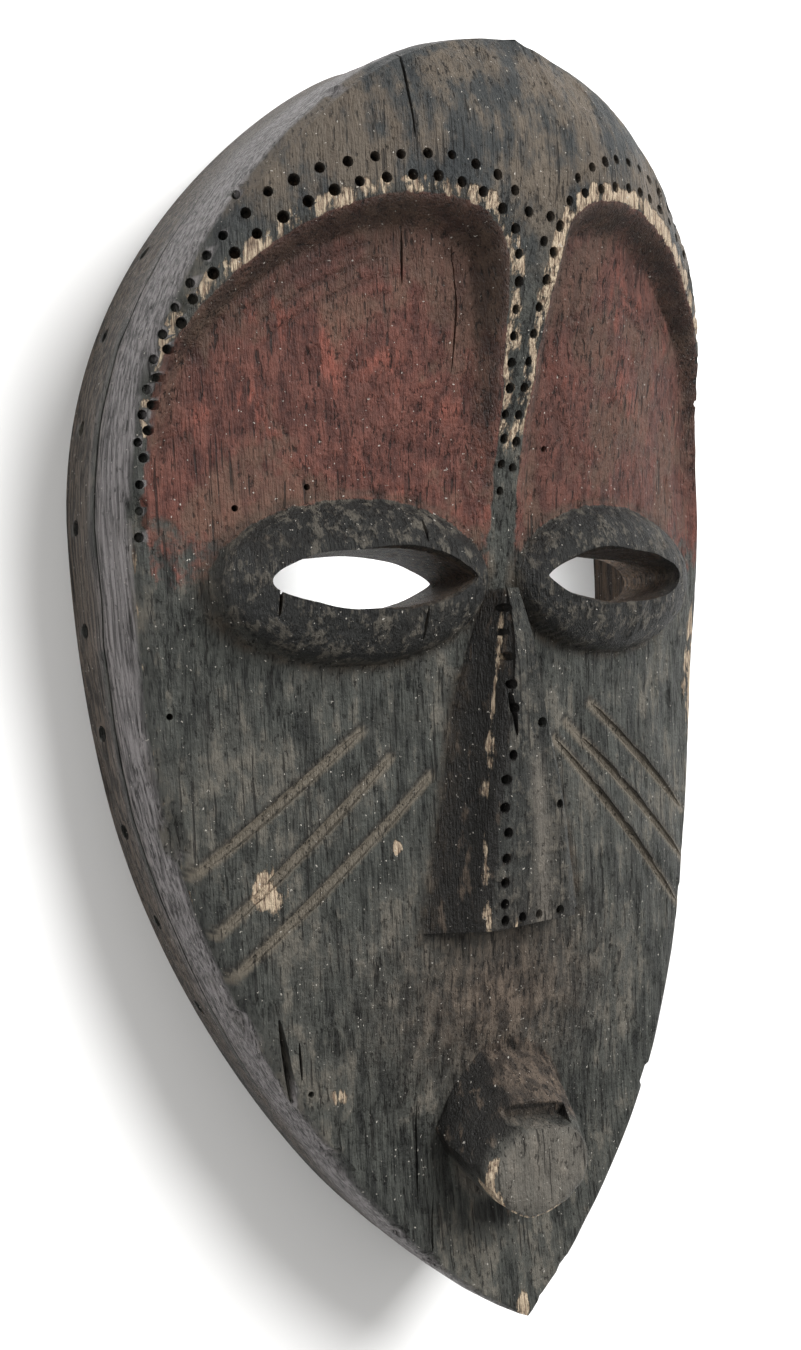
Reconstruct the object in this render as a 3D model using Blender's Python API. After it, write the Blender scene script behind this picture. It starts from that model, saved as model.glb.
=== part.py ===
"""A carved wooden face mask, lying face up on the flat rim of its hollow back.

+Y points to the crown, +Z out of the face, and the origin is on the floor under the middle.
The mask is one piece of wood: a long domed face with two scooped forehead lobes under a raised crown,
a ridge between them, raised eye rims with slots, a wedge nose, a snout mouth and cheek grooves.
"""
import bpy
import bmesh
import math
from mathutils import Euler, Vector

# Overall sizes in metres.
LENGTH = 0.4144          # chin to crown
WIDTH = 0.224            # across the face, just above the eyes
CROWN_LEAN = 0.024       # how far the crown's front edge lies inside the back edge
CHIN_LEAN = 0.0055       # how far the chin's back edge lies inside the front edge
WIDEST_UP = 0.046        # where the mask is widest, above its middle
CHIN_FULL = 0.18         # how much fuller the outline is close to the chin, which makes it blunt
CHIN_SWING = 0.0045      # how far the chin lies to the right of the middle
TEMPLE_FULL = 0.0030     # how much fuller the right temple is than the left
WALL = 0.0105            # side wall of the hollow, at the back rim
FACE_THICKNESS = 0.016   # from the hollow to the face
EDGE_ROUND = 0.0045      # worn round between the face and the side wall
WALL_BULGE = 0.0012      # how far the side wall swells between its edges
WALL_LEVELS = (0.94, 0.78, 0.52, 0.26, 0.0)   # shares of the wall's height that have a row of points
HOLLOW_LEVEL = 0.8       # the hollow's roof follows the outline at this share of the wall's height
HOLLOW_LEVELS = (-0.2, 0.4, 0.85)             # shares of the hollow's height that have a row of points
HOLLOW_ROUND = 0.004     # how far the hollow's roof drops as it nears the side wall

# Heights above the back rim, as (share of the half length from the middle, height).
RIDGE_LINE = ((-1.0, 0.053), (-0.71, 0.050), (-0.40, 0.060), (-0.03, 0.062), (0.13, 0.067),
              (0.27, 0.0725), (0.45, 0.084), (0.64, 0.0955), (0.76, 0.0965), (0.885, 0.088))
EDGE_LINE = ((-1.0, 0.053), (-0.66, 0.048), (-0.32, 0.043), (-0.03, 0.042), (0.13, 0.0455),
             (0.38, 0.051), (0.52, 0.061), (0.665, 0.073), (0.81, 0.083), (0.885, 0.085))
LOBE_DEPTH = ((0.10, 0.0), (0.27, 0.0035), (0.45, 0.0065), (0.62, 0.0095), (0.80, 0.0095))
DOME_POWER = 2.2         # how full the face is across

# The two forehead lobes, as shares of the half width and half length.
LOBE_X = 0.366           # the top of a lobe's arch
LOBE_Y = 0.338           # where its arch begins
LOBE_RISE = {-1: 0.299, 1: 0.333}             # the two arches are cut by eye, so one is higher
LOBE_REACH = {"outer": (0.607, 1.7), "inner": (0.340, 3.4)}   # share of the half width, and how square
RIDGE_HALF = ((0.20, 0.0042), (0.35, 0.0047), (0.47, 0.0064), (0.56, 0.0090), (0.64, 0.0130))
LOBE_BORDER = 0.0030     # plain strip between a lobe and the outline
COVE = 0.0085            # width of the rounded step down into a lobe

# Eyes, placed by shares of the half width and half length.
EYE_X = 0.440
EYE_Y = 0.1265
RIM_HALF_LENGTH = 0.0428
RIM_HALF_HEIGHT = 0.0238
RIM_RISE = 0.0125
RIM_TILT = math.radians(8.5)
SLOT_X = 0.420
SLOT_HALF_LENGTH = 0.0325
SLOT_HALF_HEIGHT = 0.0086
SLOT_FLARE = 0.0035      # how far the slot's mouth widens out to the top of the rim
SLOT_POINT = 0.78        # how pointed a slot is at its inner end; its outer end is round

# Nose, as (share of the half length, front half width, base half width, height above the rim plane).
NOSE = ((0.110, 0.0026, 0.0060, 0.0725), (0.045, 0.0040, 0.0105, 0.0760), (-0.005, 0.0055, 0.0138, 0.0770),
        (-0.085, 0.0082, 0.0182, 0.0768), (-0.215, 0.0134, 0.0245, 0.0762), (-0.384, 0.0177, 0.0312, 0.0728))
NOSE_CROWN = 0.0012      # how far the front of the nose is rounded up along its middle
NOSE_HOLLOW = 0.0018     # how far its sides are hollowed

# Mouth: a snout that narrows from its base to a blunt front, which sits lower.
MOUTH_Y = -0.680
MOUTH_BASE = (0.0245, 0.0235)
MOUTH_FRONT = (0.0195, 0.0140)
MOUTH_DROP = 0.0140
MOUTH_TOP = 0.0700
SLIT_LENGTH = 0.024
SLIT_HEIGHT = 0.0040
SLIT_DEPTH = 0.0050
SLIT_LEAN = math.radians(20.0)

# Cheek grooves, as (inner share of half width, inner share of half length, outer shares alike).
# They are cut by eye, so the two cheeks differ a little.
SCARS = {-1: ((0.437, -0.085, 0.877, -0.264), (0.357, -0.126, 0.821, -0.348), (0.238, -0.157, 0.788, -0.409)),
         1: ((0.365, -0.070, 0.846, -0.268), (0.260, -0.097, 0.845, -0.355), (0.208, -0.120, 0.790, -0.425))}
SCAR_RADIUS = 0.0026

# Holes in the side wall, close to the back rim.
HOLE_DIAMETER = 0.005
HOLE_ABOVE_RIM = 0.0085
HOLE_PITCH = 0.030
HOLE_START = 0.120       # along the wall from the crown, to the first hole
HOLES_A_SIDE = 9

# How finely the forms are divided.
SECTIONS = 140
STATIONS = 84
HOLLOW_SECTIONS = 36
HOLLOW_STATIONS = 16
KEEP_SHARE = 0.165       # share of the blank's faces that the decimation keeps
INTO = 0.008             # how deep a raised form is sunk into the face


def smooth(low, high, value):
    """Ease from 0 to 1 as the value goes from low to high."""
    t = min(max((value - low) / (high - low), 0.0), 1.0)
    return t * t * (3.0 - 2.0 * t)


def follow(line, value):
    """Read a smooth curve through the points of a line."""
    value = min(max(value, line[0][0]), line[-1][0])
    last = len(line) - 1
    i = 0
    while i < last - 1 and value > line[i + 1][0]:
        i += 1

    def slope(k):
        before = line[max(k - 1, 0)]
        after = line[min(k + 1, last)]
        return (after[1] - before[1]) / (after[0] - before[0])

    span = line[i + 1][0] - line[i][0]
    t = (value - line[i][0]) / span
    start = (2 * t ** 3 - 3 * t ** 2 + 1) * line[i][1] + (t ** 3 - 2 * t ** 2 + t) * span * slope(i)
    end = (3 * t ** 2 - 2 * t ** 3) * line[i + 1][1] + (t ** 3 - t ** 2) * span * slope(i + 1)
    return start + end


def crown_end(level):
    """How far up the outline goes, at a level from 0 at the back to 1 at the front."""
    return LENGTH / 2 - CROWN_LEAN * level


def chin_end(level):
    return -LENGTH / 2 + CHIN_LEAN * (1.0 - level)


def outline_share(t, upper, level):
    """Share of the full half width left at a share t of the way to the crown or the chin."""
    if upper:
        return (1.0 - t * t) ** (0.8 - 0.3 * level)
    pull = 0.62 - 0.10 * level
    blunt = CHIN_FULL * t ** 6 * max(1.0 - t * t, 0.0) ** 0.5
    return 1.0 - pull * t ** 2 - (1.0 - pull) * t ** 4 + blunt


def half_width(y, level=1.0):
    """Half the width of the outline at a place along it."""
    upper = y > WIDEST_UP
    end = crown_end(level) if upper else chin_end(level)
    t = min((y - WIDEST_UP) / (end - WIDEST_UP), 1.0)
    return WIDTH / 2 * outline_share(t, upper, level)


def outline_point(turn, level, inset=0.0):
    """A place on the outline, from the chin at -90 degrees to the crown at 90, set in by a wall."""
    t = abs(math.sin(turn))
    upper = turn > 0.0
    end = crown_end(level) - inset * 1.2 if upper else chin_end(level) + inset * 1.4
    half = (WIDTH / 2 - inset) * max(outline_share(t, upper, level), 0.0)
    return half, WIDEST_UP + t * (end - WIDEST_UP)


def sway(x, y):
    """Where a place on the outline really lies: the mask was cut by eye and isn't quite symmetrical."""
    share = 2.0 * y / LENGTH
    swing = CHIN_SWING * smooth(0.15, 0.75, -share)
    temple = TEMPLE_FULL * smooth(0.30, 0.55, share) * (1.0 - smooth(0.60, 0.85, share))
    return x + swing + temple * max(2.0 * x / WIDTH, 0.0)


def lobe_inside(x, y):
    """Distance from a place on the forehead in to the nearest border of its lobe."""
    tall = LOBE_RISE[-1 if x < 0.0 else 1] * LENGTH / 2
    x = abs(x)
    sides = min(x - follow(RIDGE_HALF, 2.0 * y / LENGTH), half_width(y) - LOBE_BORDER - x)
    rise = y - LOBE_Y * LENGTH / 2
    if rise <= 0.0:
        return sides
    across = x - LOBE_X * WIDTH / 2
    share, power = LOBE_REACH["outer" if across > 0.0 else "inner"]
    reach = (abs(2.0 * across / (share * WIDTH)) ** power + (rise / tall) ** power) ** (1.0 / power)
    return min((1.0 - reach) * tall, sides)


def domed_height(x, y):
    """Height of the face above the back rim, before the lobes are scooped out of it."""
    share = 2.0 * y / LENGTH
    across = min(abs(x) / max(half_width(y), 0.0005), 1.0)
    edge = follow(EDGE_LINE, share)
    return edge + (follow(RIDGE_LINE, share) - edge) * (1.0 - across ** DOME_POWER)


def face_height(x, y):
    """Height of the carved face above the back rim, without the eyes, nose and mouth."""
    scoop = follow(LOBE_DEPTH, 2.0 * y / LENGTH)
    return domed_height(x, y) - scoop * smooth(0.0, COVE, lobe_inside(x, y))


def loft(name, sections, material):
    """Make a closed object from loops of points, one loop after the other, with capped ends."""
    shape = bmesh.new()
    rows = [[shape.verts.new(point) for point in section] for section in sections]
    count = len(rows[0])
    for row, following in zip(rows, rows[1:]):
        for i in range(count):
            after = (i + 1) % count
            shape.faces.new((row[i], row[after], following[after], following[i]))
    shape.faces.new(rows[0])
    shape.faces.new(rows[-1])
    bmesh.ops.remove_doubles(shape, verts=shape.verts, dist=0.00005)
    bmesh.ops.dissolve_degenerate(shape, edges=shape.edges, dist=0.00005)
    bmesh.ops.recalc_face_normals(shape, faces=shape.faces)
    return to_object(name, shape, material)


def to_object(name, shape, material):
    mesh = bpy.data.meshes.new(name)
    shape.to_mesh(mesh)
    shape.free()
    mesh.materials.append(material)
    return bpy.data.objects.new(name, mesh)


def blank_section(turn):
    """One loop round the blank: across the face, down one side wall and up the other."""
    half, y = outline_point(turn, 1.0)
    inset = min(EDGE_ROUND, half * 0.5)
    top = face_height(half, y)
    face = []
    for i in range(STATIONS + 1):
        x = (half - inset) * (2.0 * i / STATIONS - 1.0)
        face.append(Vector((x, y, face_height(x, y))))
    side = []
    for level in WALL_LEVELS:
        swell = WALL_BULGE * math.sin(math.pi * level) * min(half / EDGE_ROUND, 1.0)
        wall_half, wall_y = outline_point(turn, level)
        side.append(Vector((wall_half + swell, wall_y, top * level)))
    corner = face[-1].lerp(side[0], 0.62)
    side.insert(0, Vector((corner.x, y, (face[-1].z + top) / 2 - EDGE_ROUND * 0.12)))
    left = [Vector((-point.x, point.y, point.z)) for point in reversed(side)]
    return [Vector((sway(point.x, point.y), point.y, point.z)) for point in face + side + left]


def make_blank(material):
    sections = [blank_section((i / SECTIONS - 0.5) * math.pi) for i in range(SECTIONS + 1)]
    return loft("carved_mask", sections, material)


def make_hollow(material):
    """The scooped inside, which leaves the side wall and the thickness of the face."""
    sections = []
    for i in range(HOLLOW_SECTIONS + 1):
        turn = (i / HOLLOW_SECTIONS - 0.5) * math.pi
        half, y = outline_point(turn, HOLLOW_LEVEL, WALL)
        roof = []
        for k in range(HOLLOW_STATIONS + 1):
            across = math.cos(math.pi * k / HOLLOW_STATIONS)
            x = half * 0.95 * across
            scoop = 1.1 * follow(LOBE_DEPTH, 2.0 * y / LENGTH)
            height = domed_height(x, y) - scoop - FACE_THICKNESS - HOLLOW_ROUND * abs(across) ** 5
            roof.append(Vector((x, y, max(height, FACE_THICKNESS))))
        side = []
        for share in HOLLOW_LEVELS:
            wall_half, wall_y = outline_point(turn, max(share, 0.0) * HOLLOW_LEVEL, WALL)
            side.append(Vector((wall_half, wall_y, roof[0].z * share)))
        left = [Vector((-point.x, point.y, point.z)) for point in reversed(side)]
        sections.append([Vector((sway(point.x, point.y), point.y, point.z)) for point in side + roof + left])
    return loft("hollow", sections, material)


def make_eye_rim(side, material):
    """A long low dome, which the slot cuts into a raised rim."""
    shape = bmesh.new()
    bmesh.ops.create_uvsphere(shape, u_segments=32, v_segments=14, radius=1.0)
    x = side * EYE_X * WIDTH / 2
    y = EYE_Y * LENGTH / 2
    turn = Euler((0.0, side * RIM_TILT, 0.0)).to_matrix()
    middle = Vector((x, y, face_height(x, y) - 0.0015))
    for vert in shape.verts:
        sized = Vector((vert.co.x * RIM_HALF_LENGTH, vert.co.y * RIM_HALF_HEIGHT, vert.co.z * RIM_RISE))
        vert.co = middle + turn @ sized
    return to_object("eye_rim", shape, material)


def lens(side, half_length, half_height, count):
    """Points round an eye slot: round at its outer end and pointed at the nose."""
    points = []
    for i in range(count):
        angle = 2.0 * math.pi * i / count
        t = math.cos(angle)
        power = 0.5 + (SLOT_POINT - 0.5) * smooth(-0.3, 0.9, -t * side)
        rise = half_height * max(1.0 - t * t, 0.0) ** power
        points.append((half_length * t, math.copysign(rise, math.sin(angle))))
    return points


def make_slot(side, material):
    x = side * SLOT_X * WIDTH / 2
    y = EYE_Y * LENGTH / 2
    top = face_height(x, y) + RIM_RISE
    levels = ((top + 0.004, SLOT_FLARE * 1.6), (top - 0.003, 0.0), (top - 0.018, -0.0004), (0.018, 0.001))
    sections = []
    for height, flare in levels:
        outline = lens(side, SLOT_HALF_LENGTH + flare * 0.7, SLOT_HALF_HEIGHT + flare, 24)
        sections.append([Vector((x + dx, y + dy, height)) for dx, dy in outline])
    return loft("eye_slot", sections, material)


def make_nose(material):
    """A wedge that widens down to the nostrils, with slightly hollow sides."""
    sections = []
    for share, front, base, height in NOSE:
        y = share * LENGTH / 2
        foot = face_height(base, y) - INTO
        line = face_height(base, y)
        middle_x = (front + base) / 2 - NOSE_HOLLOW * min(base / NOSE[-1][2], 1.0)
        middle_z = (height + line) / 2
        half = [(base, foot), (base, line), (middle_x, middle_z), (front, height)]
        points = [Vector((px, y, pz)) for px, pz in half]
        points.append(Vector((0.0, y, height + NOSE_CROWN)))
        points += [Vector((-px, y, pz)) for px, pz in reversed(half)]
        sections.append(points)
    return loft("nose", sections, material)


def make_mouth(material):
    sections = []
    base_y = MOUTH_Y * LENGTH / 2
    foot = face_height(0.0, base_y) - INTO
    face = face_height(0.0, base_y)
    levels = ((foot, 0.0, 1.0), (face, 0.0, 1.0), ((face + MOUTH_TOP) / 2, 0.5, 1.02),
              (MOUTH_TOP - 0.0012, 0.95, 1.0), (MOUTH_TOP, 1.0, 0.93), (MOUTH_TOP + 0.0008, 1.0, 0.5))
    for height, share, size in levels:
        wide = (MOUTH_BASE[0] + (MOUTH_FRONT[0] - MOUTH_BASE[0]) * share) * size
        tall = (MOUTH_BASE[1] + (MOUTH_FRONT[1] - MOUTH_BASE[1]) * share) * size
        middle = base_y - MOUTH_DROP * share
        points = []
        for i in range(16):
            angle = 2.0 * math.pi * i / 16
            points.append(Vector((wide * math.cos(angle), middle + tall * math.sin(angle), height)))
        sections.append(points)
    return loft("mouth", sections, material)


def make_slit(material):
    """The step cut along the upper edge of the mouth's blunt front."""
    shape = bmesh.new()
    bmesh.ops.create_cube(shape, size=1.0)
    edge = MOUTH_Y * LENGTH / 2 - MOUTH_DROP + MOUTH_FRONT[1]
    middle = Vector((0.0, edge, MOUTH_TOP))
    turn = Euler((SLIT_LEAN, 0.0, 0.0)).to_matrix()
    for vert in shape.verts:
        sized = Vector((vert.co.x * SLIT_LENGTH, vert.co.y * SLIT_HEIGHT, vert.co.z * SLIT_DEPTH * 2))
        vert.co = middle + turn @ sized
    return to_object("mouth_slit", shape, material)


def make_scar(side, scar, material):
    """A long shallow groove that thins out at both ends and follows the cheek."""
    curve = bpy.data.curves.new("scar", "CURVE")
    curve.dimensions = "3D"
    curve.bevel_depth = SCAR_RADIUS
    curve.bevel_resolution = 0
    curve.use_fill_caps = True
    steps = 7
    line = curve.splines.new("POLY")
    line.points.add(steps)
    for i in range(steps + 1):
        t = i / steps
        x = side * (scar[0] + (scar[2] - scar[0]) * t) * WIDTH / 2
        y = (scar[1] + (scar[3] - scar[1]) * t) * LENGTH / 2
        taper = 0.35 + 0.65 * math.sin(math.pi * t) ** 0.5
        line.points[i].co = (x, y, face_height(x, y), 1.0)
        line.points[i].radius = taper
    guide = bpy.data.objects.new("scar_guide", curve)
    bpy.context.scene.collection.objects.link(guide)
    bpy.context.view_layer.update()
    evaluated = guide.evaluated_get(bpy.context.evaluated_depsgraph_get())
    mesh = bpy.data.meshes.new_from_object(evaluated)
    shape = bmesh.new()
    shape.from_mesh(mesh)
    bmesh.ops.remove_doubles(shape, verts=shape.verts, dist=0.00001)
    bmesh.ops.recalc_face_normals(shape, faces=shape.faces)
    bpy.data.objects.remove(guide)
    bpy.data.meshes.remove(mesh)
    return to_object("scar", shape, material)


def wall_places():
    """Places of the holes along one side wall, each with the wall's outward direction."""
    places = []
    travelled = 0.0
    level = 0.12
    last = Vector((0.0, crown_end(level), 0.0))
    steps = 400
    for i in range(1, steps):
        half, y = outline_point(math.pi / 2 - math.pi * i / steps, level)
        here = Vector((half, y, 0.0))
        travelled += (here - last).length
        due = HOLE_START + HOLE_PITCH * len(places)
        if travelled >= due and len(places) < HOLES_A_SIDE:
            run = (here - last).normalized()
            places.append((here, Vector((-run.y, run.x, 0.0))))
        last = here
    return places


def make_wall_hole(side, place, outward, material):
    """A drilled hole through the side wall, with its axis square to the wall."""
    shape = bmesh.new()
    radius = HOLE_DIAMETER / 2
    bmesh.ops.create_cone(shape, cap_ends=True, segments=8, radius1=radius, radius2=radius, depth=WALL * 4)
    turn = Vector((0.0, 0.0, 1.0)).rotation_difference(Vector((outward.x * side, outward.y, 0.0))).to_matrix()
    middle = Vector((sway(place.x * side, place.y), place.y, HOLE_ABOVE_RIM))
    for vert in shape.verts:
        vert.co = middle + turn @ vert.co
    return to_object("wall_hole", shape, material)


def wood(name, colour, roughness):
    material = bpy.data.materials.new(name)
    material.use_nodes = True
    shader = material.node_tree.nodes["Principled BSDF"]
    shader.inputs["Base Color"].default_value = (*colour, 1.0)
    shader.inputs["Roughness"].default_value = roughness
    return material


def add_boolean(mask, other, operation):
    modifier = mask.modifiers.new(other.name, "BOOLEAN")
    modifier.operation = operation
    modifier.solver = "EXACT"
    modifier.object = other


def main():
    for item in list(bpy.data.objects):
        bpy.data.objects.remove(item, do_unlink=True)
    parts = bpy.data.collections.new("tribal_mask")
    cutters = bpy.data.collections.new("mask_cutters")
    bpy.context.scene.collection.children.link(parts)
    bpy.context.scene.collection.children.link(cutters)
    dark_wood = wood("painted_wood", (0.045, 0.040, 0.036), 0.62)

    mask = make_blank(dark_wood)
    parts.objects.link(mask)
    fewer = mask.modifiers.new("fewer_faces", "DECIMATE")
    fewer.ratio = KEEP_SHARE

    raised = [make_eye_rim(side, dark_wood) for side in (-1, 1)]
    raised += [make_nose(dark_wood), make_mouth(dark_wood)]
    cut = [make_hollow(dark_wood), make_slit(dark_wood)]
    for side in (-1, 1):
        cut.append(make_slot(side, dark_wood))
        cut += [make_scar(side, scar, dark_wood) for scar in SCARS[side]]
        cut += [make_wall_hole(side, place, outward, dark_wood) for place, outward in wall_places()]
    for other, operation in [(item, "UNION") for item in raised] + [(item, "DIFFERENCE") for item in cut]:
        cutters.objects.link(other)
        other.hide_render = True
        other.display_type = "WIRE"
        add_boolean(mask, other, operation)


main()
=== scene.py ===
"""A carved and painted wooden face mask, lying face up on the rim of its hollow back.

Row frame, in metres: +Y to the crown, +Z out of the face, origin on the floor under the middle.
"""

import math

import bmesh
import bpy
import numpy as np
from mathutils import Matrix, Vector, noise


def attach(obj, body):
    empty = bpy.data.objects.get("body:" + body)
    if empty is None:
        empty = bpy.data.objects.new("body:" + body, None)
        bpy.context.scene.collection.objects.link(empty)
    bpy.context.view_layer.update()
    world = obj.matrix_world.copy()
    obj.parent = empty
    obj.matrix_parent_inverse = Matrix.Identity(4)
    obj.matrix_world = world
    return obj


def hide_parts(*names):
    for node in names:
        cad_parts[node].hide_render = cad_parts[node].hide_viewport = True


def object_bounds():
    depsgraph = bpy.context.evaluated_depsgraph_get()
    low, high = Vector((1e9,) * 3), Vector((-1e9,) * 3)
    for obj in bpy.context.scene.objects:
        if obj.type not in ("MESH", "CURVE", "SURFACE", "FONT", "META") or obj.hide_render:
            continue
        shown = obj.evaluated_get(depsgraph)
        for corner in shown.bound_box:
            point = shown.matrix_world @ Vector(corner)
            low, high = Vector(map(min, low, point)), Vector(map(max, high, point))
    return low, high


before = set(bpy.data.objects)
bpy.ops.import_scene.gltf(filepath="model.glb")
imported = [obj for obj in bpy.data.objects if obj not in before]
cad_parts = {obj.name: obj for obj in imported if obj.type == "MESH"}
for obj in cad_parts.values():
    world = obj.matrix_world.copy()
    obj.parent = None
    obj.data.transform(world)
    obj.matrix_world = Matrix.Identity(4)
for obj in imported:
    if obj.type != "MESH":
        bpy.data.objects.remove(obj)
cad_low, cad_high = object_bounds()
bpy.ops.object.select_all(action="DESELECT")


# The blank is one block of a light, straight-grained wood, hewn with an adze to a long pointed oval.
# Its face is domed and its side wall plain, cut by eye, so that the chin lies a little to the right.
# Two lobes are scooped out of the forehead, and a long low rim is left standing round each eye.
length = cad_high.y - cad_low.y
wall_swell = 0.0012
width = cad_high.x - cad_low.x - 2 * wall_swell
crown_lean = 0.024
chin_lean = 0.0055
widest = 0.046
edge_round = 0.0045
crown_slim = 0.10
chin_full = 0.18
chin_swing = 0.0045
temple_full = 0.0030

# Heights over the rim, depth of the lobes and half width of the ridge, by share of the half length.
ridge_line = ((-1.0, 0.053), (-0.71, 0.050), (-0.40, 0.060), (-0.03, 0.062), (0.13, 0.067),
              (0.27, 0.0725), (0.45, 0.084), (0.64, 0.0955), (0.76, 0.0965), (0.885, 0.088))
edge_line = ((-1.0, 0.053), (-0.66, 0.048), (-0.32, 0.043), (-0.03, 0.042), (0.13, 0.0455),
             (0.38, 0.051), (0.52, 0.061), (0.665, 0.073), (0.81, 0.083), (0.885, 0.085))
lobe_depth = ((0.10, 0.0), (0.27, 0.0035), (0.45, 0.0065), (0.62, 0.0095), (0.80, 0.0095))
ridge_half = ((0.20, 0.0042), (0.35, 0.0047), (0.47, 0.0064), (0.56, 0.0090), (0.64, 0.0130))
dome_power = 2.2
lobe_top_x = 0.041
lobe_arch_y = 0.070
lobe_rise = (0.062, 0.069)           # left and right arch, cut by eye
lobe_outer = (0.068, 1.7)            # reach from the arch's top, and how square it is
lobe_inner = (0.038, 3.4)
lobe_border = 0.003
cove = 0.0080

eye_x = 0.0493
eye_y = 0.0262
rim_size = (0.0428, 0.0238, 0.0125)
rim_tilt = math.radians(8.5)
rim_blend = 0.0022                   # soft foot between a rim and the face
rim_reach = -0.35                    # how far out of a rim, as its share, that foot may go

facet_depth = 0.0010
fibre_depth = 0.00030
gouge_depth = 0.0008
gouge_pitch = 0.0050
flake_depth = 0.00045
wear_depth = 0.0011
chip_depth = 0.0012

across_count = 176
along_count = 350
lower_share = 0.62                   # share of the rows that lie below the widest place
wall_levels = (0.86, 0.74, 0.62, 0.50, 0.38, 0.26, 0.14, 0.05, 0.0)


def ease(low, high, value):
    """Go smoothly from 0 to 1 as the value goes from low to high."""
    t = np.clip((value - low) / (high - low), 0.0, 1.0)
    return t * t * (3.0 - 2.0 * t)


def follow(line, value):
    """Read a smooth curve through the points of a line."""
    at, height = (np.array(numbers) for numbers in zip(*line))
    order = np.arange(len(at))
    before, after = np.maximum(order - 1, 0), np.minimum(order + 1, len(at) - 1)
    slope = (height[after] - height[before]) / (at[after] - at[before])
    value = np.clip(value, at[0], at[-1])
    i = np.clip(np.searchsorted(at, value) - 1, 0, len(at) - 2)
    span = at[i + 1] - at[i]
    t = (value - at[i]) / span
    start = (2 * t ** 3 - 3 * t ** 2 + 1) * height[i] + (t ** 3 - 2 * t ** 2 + t) * span * slope[i]
    end = (3 * t ** 2 - 2 * t ** 3) * height[i + 1] + (t ** 3 - t ** 2) * span * slope[i + 1]
    return start + end


def rough(points, size, seed=0.0):
    """Soft noise from -1 to 1 at each point, with lumps of the given size along x, y and z."""
    scaled = points / np.array(size) + seed * 17.3
    return np.array([noise.noise(Vector(point)) for point in scaled])


def outline_share(t, upper, level):
    """Share of the half width left at a share t of the way to the crown or the chin."""
    left = np.maximum(1.0 - t * t, 0.0)
    round_end = left ** (0.8 - 0.3 * level) - crown_slim * t ** 4 * left
    pull = 0.62 - 0.10 * level
    pointed = 1.0 - pull * t ** 2 - (1.0 - pull) * t ** 4 + chin_full * t ** 6 * left ** 0.5
    return np.where(upper, round_end, pointed)


def outline_place(t, upper, level, inset=0.0):
    """Half width and y of the outline, from the back rim at level 0 to the face at level 1."""
    crown = length / 2 - crown_lean * level - inset * 1.2
    chin = -length / 2 + chin_lean * (1.0 - level) + inset * 1.4
    half = (width / 2 - inset) * np.maximum(outline_share(t, upper, level), 0.0)
    return half, widest + t * (np.where(upper, crown, chin) - widest)


def sway(x, y, back=False):
    """Where a place on the outline really lies, as the mask was cut by eye, or the way back from there."""
    share = 2.0 * y / length
    swing = chin_swing * ease(0.15, 0.75, -share)
    temple = temple_full * ease(0.30, 0.55, share) * (1.0 - ease(0.60, 0.85, share)) * 2.0 / width
    if back:
        return np.where(x > swing, (x - swing) / (1.0 + temple), x - swing)
    return x + swing + temple * np.maximum(x, 0.0)


def row_place(along):
    """How far each row of the grid lies towards the crown or the chin, and which of them it is."""
    split = 2.0 * lower_share - 1.0
    upper = along > split
    q = np.where(upper, (along - split) / (1.0 - split), (split - along) / (1.0 + split))
    bent = np.sin(q * math.pi / 2)
    return np.where(upper, 0.35 * q + 0.65 * bent, 0.9 * q + 0.1 * bent), upper


def half_width(y):
    upper = y > widest
    end = np.where(upper, length / 2 - crown_lean, -length / 2)
    t = np.clip((y - widest) / (end - widest), 0.0, 1.0)
    return width / 2 * outline_share(t, upper, 1.0)


def lobe_inside(x, y):
    """Distance from a place on the forehead in to the nearest border of its lobe."""
    rise_here = np.where(x < 0.0, *lobe_rise)
    x = np.abs(x)
    sides = np.minimum(x - follow(ridge_half, 2.0 * y / length), half_width(y) - lobe_border - x)
    across = x - lobe_top_x
    wide = np.where(across > 0.0, lobe_outer[0], lobe_inner[0])
    power = np.where(across > 0.0, lobe_outer[1], lobe_inner[1])
    up = np.maximum(y - lobe_arch_y, 0.0) / rise_here
    reach = ((np.abs(across) / wide) ** power + up ** power) ** (1.0 / power)
    return np.where(up > 0.0, np.minimum((1.0 - reach) * rise_here, sides), sides)


def domed_height(x, y):
    share = 2.0 * y / length
    across = np.minimum(np.abs(x) / np.maximum(half_width(y), 0.0005), 1.0)
    edge = follow(edge_line, share)
    return edge + (follow(ridge_line, share) - edge) * (1.0 - across ** dome_power)


def face_height(x, y):
    """Height of the carved face above the back rim, without the eyes, nose and mouth."""
    scoop = follow(lobe_depth, 2.0 * y / length)
    return domed_height(x, y) - scoop * ease(0.0, cove, lobe_inside(x, y))


def rim_share(x, y):
    """1 at the middle of an eye, 0 at the foot of its rim, and less beyond it."""
    return 1.0 - ((np.abs(x) - eye_x) / rim_size[0]) ** 2 - ((y - eye_y) / rim_size[1]) ** 2


def rim_height(x, y):
    """Height of the dome over an eye, which the slot cuts into a raised rim."""
    middle = face_height(np.full_like(x, eye_x), np.full_like(y, eye_y)) - 0.0015
    slope = -(np.abs(x) - eye_x) * math.tan(rim_tilt)
    share = rim_share(x, y)
    return middle + slope + rim_size[2] * np.sign(share) * np.sqrt(np.abs(share))


def carved_height(x, y):
    """Height of the face with its eye rims, at a place on the finished mask."""
    x = sway(x, y, back=True)
    face = face_height(x, y)
    return np.where(rim_share(x, y) > 0.0, np.maximum(face, rim_height(x, y)), face)


def gouge_marks(points, inside):
    """1 along the gouge marks that follow the arches of the lobes, 0 between them."""
    bites = np.sin(inside * 2 * math.pi / gouge_pitch + 2.4 * rough(points, (0.02, 0.02, 0.02), 3.0))
    high = ease(0.080, 0.110, points[:, 1]) * (1.0 - ease(0.020, 0.034, inside))
    return np.maximum(bites, 0.0) * high * ease(-0.25, 0.15, rough(points, (0.02,) * 3, 4.0))


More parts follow.
